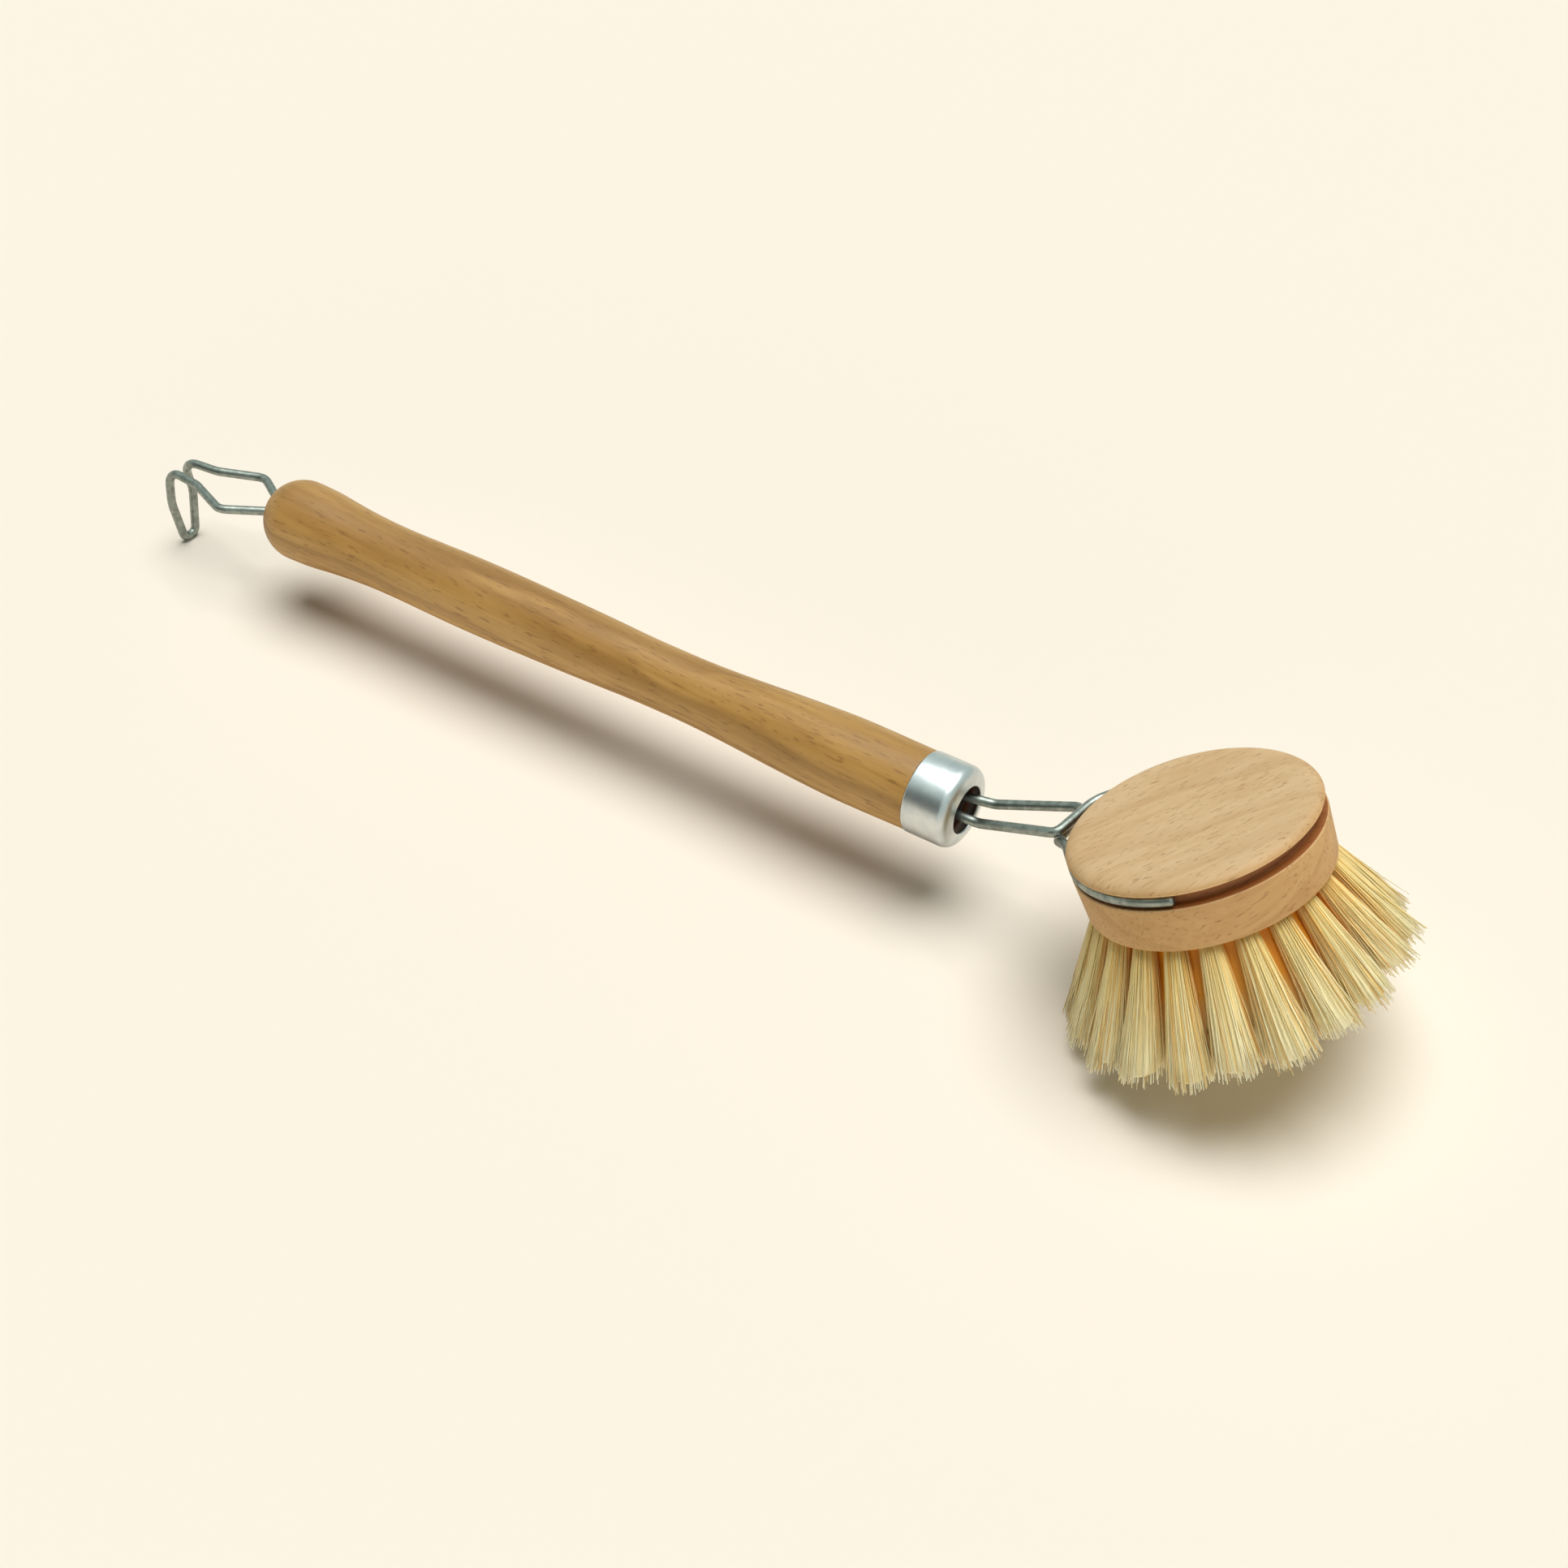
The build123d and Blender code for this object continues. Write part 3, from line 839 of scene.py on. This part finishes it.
def beech(name, turn, tones, line, fleck, side_tone, roughness, layer_mm, line_strength, fleck_strength):
    """Wood whose grain runs along X after the pattern is turned by these angles."""
    material, tree, output = finish_named(name)
    where = add(tree, "TexCoord").outputs["Object"]
    straight = add(
        tree, "Mapping", {"Vector": where, "Rotation": turn}, vector_type="TEXTURE"
    ).outputs["Vector"]
    # soft clouds of tone, stretched along the grain, with fine streaks of fibre over them
    slow = add(tree, "Mapping", {"Vector": straight, "Scale": (cloud_along, 1, 1)}).outputs["Vector"]
    thin = add(tree, "Mapping", {"Vector": straight, "Scale": (streak_along, 1, 1)}).outputs["Vector"]
    streaks = add(
        tree, "TexNoise", {"Vector": thin, "Scale": 1 / (streak_mm * MM), "Detail": 4.0}
    ).outputs["Fac"]
    clouds = add(
        tree, "TexNoise", {"Vector": slow, "Scale": 1 / (cloud_mm * MM), "Detail": 3.0}
    ).outputs["Fac"]
    mix = add(tree, "Math", {0: streaks, 1: 0.45}, operation="MULTIPLY").outputs[0]
    mix = add(tree, "Math", {0: clouds, 1: 0.55, 2: mix}, operation="MULTIPLY_ADD").outputs[0]
    ground_stops = [(0.36, tones[0]), (0.5, tones[1]), (0.64, tones[2])]
    ground = add(tree, "ValToRGB", {"Fac": mix}, ground_stops).outputs["Color"]
    # growth layers: bent planes, each ending in a thin dark line with a soft side and a sharp one
    drift = add(
        tree, "TexNoise", {"Vector": slow, "Scale": 1 / (drift_mm * MM), "Detail": 2.0}
    ).outputs["Color"]
    reach = (drift_reach_mm * MM,) * 3
    bent = add(tree, "VectorMath", {0: drift, 1: reach}, operation="MULTIPLY").outputs[0]
    bent = add(tree, "VectorMath", {0: straight, 1: bent}, operation="ADD").outputs[0]
    # the texture's bands are 2 pi / 20 of a unit apart at a scale of one
    layers = add(
        tree,
        "TexWave",
        {"Vector": bent, "Scale": 2 * math.pi / (20 * layer_mm * MM)},
        bands_direction="Z",
        wave_profile="SAW",
    ).outputs["Fac"]
    layer_stops = [(0.0, BLACK), (0.55, BLACK), (0.93, WHITE), (1.0, BLACK)]
    lines = add(tree, "ValToRGB", {"Fac": layers}, layer_stops).outputs["Color"]
    lines = add(tree, "Math", {0: lines, 1: line_strength}, operation="MULTIPLY").outputs[0]
    # rays: short dashes, the dark peaks of a noise stretched along the grain
    dash = add(tree, "Mapping", {"Vector": straight, "Scale": (ray_along, 1, 1)}).outputs["Vector"]
    peaks = add(
        tree, "TexNoise", {"Vector": dash, "Scale": 1 / (ray_mm * MM), "Detail": 1.0}
    ).outputs["Fac"]
    flecks = add(tree, "ValToRGB", {"Fac": peaks}, [(0.62, BLACK), (0.70, WHITE)]).outputs["Color"]
    flecks = add(tree, "Math", {0: flecks, 1: fleck_strength}, operation="MULTIPLY").outputs[0]
    # a Mix node keeps one set of sockets for each kind of value, so its colour sockets are set by number
    lined = add(tree, "Mix", {0: lines, 6: ground, 7: linear(line)}, data_type="RGBA").outputs[2]
    dashed = add(tree, "Mix", {0: flecks, 6: lined, 7: linear(fleck)}, data_type="RGBA").outputs[2]
    # where the lathe cut across the fibres they drink more, and the wood is darker and redder; the groove
    # and the bore are painted shade, darker still
    cut = add(tree, "Attribute", attribute_name="grain_and_painted_shade").outputs["Fac"]
    cut = add(tree, "Math", {0: cut, 1: 3.0}, operation="DIVIDE").outputs[0]
    grain_and_shade_stops = [(0.0, WHITE), (0.333, side_tone), (0.667, painted_groove_shade), (1.0, painted_bore_shade)]
    tone = add(tree, "ValToRGB", {"Fac": cut}, grain_and_shade_stops).outputs["Color"]
    colour = add(
        tree, "Mix", {0: 1.0, 6: dashed, 7: tone}, data_type="RGBA", blend_type="MULTIPLY"
    ).outputs[2]
    hollow = add(tree, "Math", {0: streaks, 1: flecks}, operation="SUBTRACT").outputs[0]
    bump = add(
        tree, "Bump", {"Height": hollow, "Strength": 0.2, "Distance": grain_depth_mm * MM}
    ).outputs[0]
    shader = add(
        tree,
        "BsdfPrincipled",
        {"Base Color": colour, "Roughness": roughness, "IOR": 1.5, "Normal": bump},
    )
    tree.links.new(shader.outputs[0], output.inputs[0])
    print(name, len(tree.nodes), "nodes")
    return material


oiled_beech = beech(
    "oiled_beech",
    turn=(0.25, 0.035, -0.03),
    tones=("#a97c3d", "#b88b47", "#c69955"),
    line="#83571f",
    fleck="#7a4f20",
    side_tone="#d8c4a8",
    roughness=0.45,
    layer_mm=7.0,
    line_strength=0.42,
    fleck_strength=0.5,
)
# side_tone darkens the head's turned sides: partly their end grain, partly painted shade
raw_beech = beech(
    "raw_beech",
    turn=(0.2, -0.43, 1.05),
    tones=("#d5ae7a", "#ddba89", "#e3c293"),
    line="#b98a52",
    fleck="#9a6a3a",
    side_tone="#e8d6b8",
    roughness=0.62,
    layer_mm=8.0,
    line_strength=0.25,
    fleck_strength=0.45,
)
handle.data.materials.append(oiled_beech)
block.data.materials.append(raw_beech)

# %% [markdown]
# ## Metals
# Zinc plate on the drawn ferrule is bright and bluish, with faint rings from the die and patches where
# the plating is duller. The spring wire is galvanised and drawn, so it is greyer, slightly green, and
# rougher, with fine lines along it. Both are bare metal, so the colour tints the reflections and nothing
# else. The lines of drawing are some hundredths of a millimetre apart, and are drawn coarser, to show.

# %% Zinc plate and galvanised wire
drawn_along = 0.12
drawn_depth_mm = 0.05


def plated(name, colour, patch_colour, roughness, rough_patch, patch_mm, grain_mm):
    """A metal whose colour and roughness change over patches, with a fine drawn grain as bump."""
    material, tree, output = finish_named(name)
    where = add(tree, "TexCoord").outputs["Object"]
    patches = add(
        tree, "TexNoise", {"Vector": where, "Scale": 1 / (patch_mm * MM), "Detail": 3.0}
    ).outputs["Fac"]
    tone = add(tree, "ValToRGB", {"Fac": patches}, [(0.35, patch_colour), (0.65, colour)]).outputs["Color"]
    rough = add(
        tree, "MapRange", {"Value": patches, "To Min": rough_patch, "To Max": roughness}
    ).outputs["Result"]
    stretch = (1, drawn_along, drawn_along)
    lines = add(tree, "Mapping", {"Vector": where, "Scale": stretch}).outputs["Vector"]
    grain = add(
        tree, "TexNoise", {"Vector": lines, "Scale": 1 / (grain_mm * MM), "Detail": 2.0}
    ).outputs["Fac"]
    bump = add(
        tree, "Bump", {"Height": grain, "Strength": 0.1, "Distance": drawn_depth_mm * MM}
    ).outputs[0]
    shader = add(
        tree,
        "BsdfPrincipled",
        {"Base Color": tone, "Metallic": 1.0, "Roughness": rough, "Normal": bump},
    )
    tree.links.new(shader.outputs[0], output.inputs[0])
    print(name, len(tree.nodes), "nodes")
    return material


zinc_plate = plated(
    "zinc_plated_steel",
    colour="#d6dad9",
    patch_colour="#c6cccd",
    roughness=0.32,
    rough_patch=0.37,
    patch_mm=3.0,
    grain_mm=0.25,
)
galvanised = plated(
    "galvanised_spring_wire",
    colour="#9da29a",
    patch_colour="#7c827b",
    roughness=0.30,
    rough_patch=0.45,
    patch_mm=1.5,
    grain_mm=0.2,
)
ferrule.data.materials.append(zinc_plate)
for piece in [hook, root] + legs:
    piece.data.materials.append(galvanised)
anchors = frame["nodes"]["tuft_anchors"]
anchors.data.materials.clear()
anchors.data.materials.append(galvanised)

# %% [markdown]
# ## Plant fibre
# Agave fibre is pale straw, whiter at its cut tips and deeper in colour at the root, where light has
# bounced through many fibres. Each fibre has its own tone. Light would take many bounces to colour the
# gaps by itself, so the three values kept with the fibres paint it: the place along each one, its own
# tone, and how far inside the head it is.

# %% Agave fibre
fibre, tree, output = finish_named("agave_fibre")
along, shade, depth = [
    add(tree, "Attribute", attribute_name=label).outputs["Fac"]
    for label in ("along_fibre", "fibre_shade", "depth_inside")
]
outer_stops = [(0.0, "#fadc8c"), (0.3, "#ffecac"), (0.85, "#fff6cc"), (1.0, "#fff9da")]
inner_stops = [(0.0, "#f2980e"), (0.45, "#f3b038"), (0.8, "#fde6a4"), (1.0, "#fff9da")]
own_stops = [(0.0, "#e6a83c"), (0.18, "#f8dc94"), (0.4, "#fffaea"), (1.0, WHITE)]
own_strength = 0.7
outer_tone, inner_tone, own_tone = [
    add(tree, "ValToRGB", {"Fac": value}, stops).outputs["Color"]
    for value, stops in [(along, outer_stops), (along, inner_stops), (shade, own_stops)]
]
# the inner tone is painted bounce light and shade, deep orange in the gaps between tufts
straw = add(tree, "Mix", {0: depth, 6: outer_tone, 7: inner_tone}, data_type="RGBA").outputs[2]
straw = add(
    tree, "Mix", {0: own_strength, 6: straw, 7: own_tone}, data_type="RGBA", blend_type="MULTIPLY"
).outputs[2]
shader = add(tree, "BsdfPrincipled", {"Base Color": straw, "Roughness": 0.5, "IOR": 1.5})
tree.links.new(shader.outputs[0], output.inputs[0])
for ring in tufts:
    ring.data.materials.append(fibre)
print("agave_fibre", len(tree.nodes), "nodes")

# %% [markdown]
# ## Floor
# The floor is a plain warm white sheet of matt paper. It is large enough that its edge is far behind
# what the camera sees, so no backdrop is needed.

# %% Lay the floor
floor_half = 4000.0
floor_corners = [[-1, -1, 0], [1, -1, 0], [1, 1, 0], [-1, 1, 0]]
floor = surface(
    "floor", floor_half * np.array(floor_corners), np.array([[0, 1, 2, 3]]), np.zeros((0, 3), int)
)
paper, tree, output = finish_named("warm_white_paper")
paper_finish = {"Base Color": linear("#fff5e4"), "Roughness": 0.9, "Specular IOR Level": 0.0}
shader = add(tree, "BsdfPrincipled", paper_finish)
tree.links.new(shader.outputs[0], output.inputs[0])
floor.data.materials.append(paper)

# %% [markdown]
# ## Light
# One large softbox hangs overhead. It could be an area lamp, but a sun lamp with a wide angle gives the
# same soft shadow and lights a floor of any size evenly. Low walls and a low panel in front, on the
# right, fill in the upright sides but hardly reach the floor, so its shadow stays deep. What gloss
# mirrors is a pale room with one unlit place, as polished metal needs, and beyond the floor's edge the
# camera sees the floor's own tone.

# %% Light the room
world = bpy.data.worlds.new("studio")
bpy.context.scene.world = world
world.use_nodes = True
world.node_tree.nodes.clear()
tree = world.node_tree
towards = add(tree, "TexCoord").outputs["Generated"]
height = add(tree, "SeparateXYZ", {0: towards}).outputs["Z"]
panel_at = Vector((0.93, -0.37, 0.0)).normalized()
unlit_at = Vector((-0.38, -0.88, 0.30)).normalized()
to_panel, to_unlit = [
    add(tree, "VectorMath", {0: towards, 1: place}, operation="DOT_PRODUCT").outputs["Value"]
    for place in (panel_at, unlit_at)
]
# a MapRange node's sockets are its value, then the range it comes from and the range it goes to
walls, across_panel, unlit_place = [
    add(
        tree,
        "MapRange",
        {0: value, 1: start, 2: end, 3: at_start, 4: at_end},
        interpolation_type="SMOOTHSTEP",
    ).outputs[0]
    for value, start, end, at_start, at_end in [
        (height, 0.08, 0.40, 0.6, 0.03),
        (to_panel, 0.55, 0.90, 0.0, 3.2),
        (to_unlit, 0.86, 0.97, 0.72, 0.05),
    ]
]
panel = add(
    tree,
    "MapRange",
    {0: height, 1: 0.12, 2: 0.32, 3: across_panel, 4: 0.0},
    interpolation_type="SMOOTHSTEP",
).outputs[0]
tinted_walls, tinted_panel, mirrored_room = [
    add(tree, "VectorMath", {0: linear(tint)[:3], "Scale": strength}, operation="SCALE").outputs[0]
    for strength, tint in [(walls, "#b4e4f2"), (panel, "#fff6ea"), (unlit_place, "#e2f4ee")]
]
fill = add(tree, "VectorMath", {0: tinted_walls, 1: tinted_panel}, operation="ADD").outputs[0]
floor_tone = linear("#fff6e5")[:3]
ray = add(tree, "LightPath").outputs
glossy = add(
    tree, "Math", {0: ray["Is Glossy Ray"], 1: ray["Is Transmission Ray"]}, operation="MAXIMUM"
).outputs[0]
# a Mix node's sockets for vectors are numbers 4 and 5
seen = add(tree, "Mix", {0: glossy, 4: fill, 5: mirrored_room}, data_type="VECTOR").outputs[1]
seen = add(
    tree, "Mix", {0: ray["Is Camera Ray"], 4: seen, 5: floor_tone}, data_type="VECTOR"
).outputs[1]
room = add(tree, "Background", {"Color": seen})
output = add(tree, "OutputWorld")
tree.links.new(room.outputs[0], output.inputs[0])

softbox_data = bpy.data.lights.new("softbox", "SUN")
softbox_data.angle = math.radians(51)
softbox_data.energy = 2.90
softbox = bpy.data.objects.new("softbox", softbox_data)
softbox.rotation_euler = Vector((0.0, -0.12, -1.0)).to_track_quat("-Z", "Y").to_euler()
bpy.context.scene.collection.objects.link(softbox)
print("softbox", round(math.degrees(softbox_data.angle)), "degrees wide; room", len(tree.nodes), "nodes")

# %% [markdown]
# ## Camera
# The camera's place was worked out from the outline of the head and of the handle. It stands upright,
# turned and raised by two angles, at a measured distance from the head, with no shift.

# %% Set the camera
camera_turn = math.radians(34.7507)
camera_rise = math.radians(41.5190)
camera_from_head = Vector((129.5, -322.6, 311.17))
camera_data = bpy.data.cameras.new("camera")
camera_data.sensor_width = 36.0
camera_data.sensor_fit = "HORIZONTAL"
camera_data.lens = 56.10
camera_data.clip_end = 50
camera = bpy.data.objects.new("camera", camera_data)
right = Vector((math.cos(camera_turn), math.sin(camera_turn), 0.0))
level_back = Vector((math.sin(camera_turn), -math.cos(camera_turn), 0.0))
back = level_back * math.cos(camera_rise) + Vector((0.0, 0.0, math.sin(camera_rise)))
facing = Matrix((right, back.cross(right), back)).transposed().to_4x4()
camera.matrix_world = Matrix.Translation((Vector(head_at) + camera_from_head) * MM) @ facing
bpy.context.scene.collection.objects.link(camera)
bpy.context.scene.camera = camera
bpy.context.scene.view_settings.view_transform = "Standard"
print("camera", round(camera_from_head.length), "mm from the head")

# %% [markdown]
# ## End

# %% Finish
import json
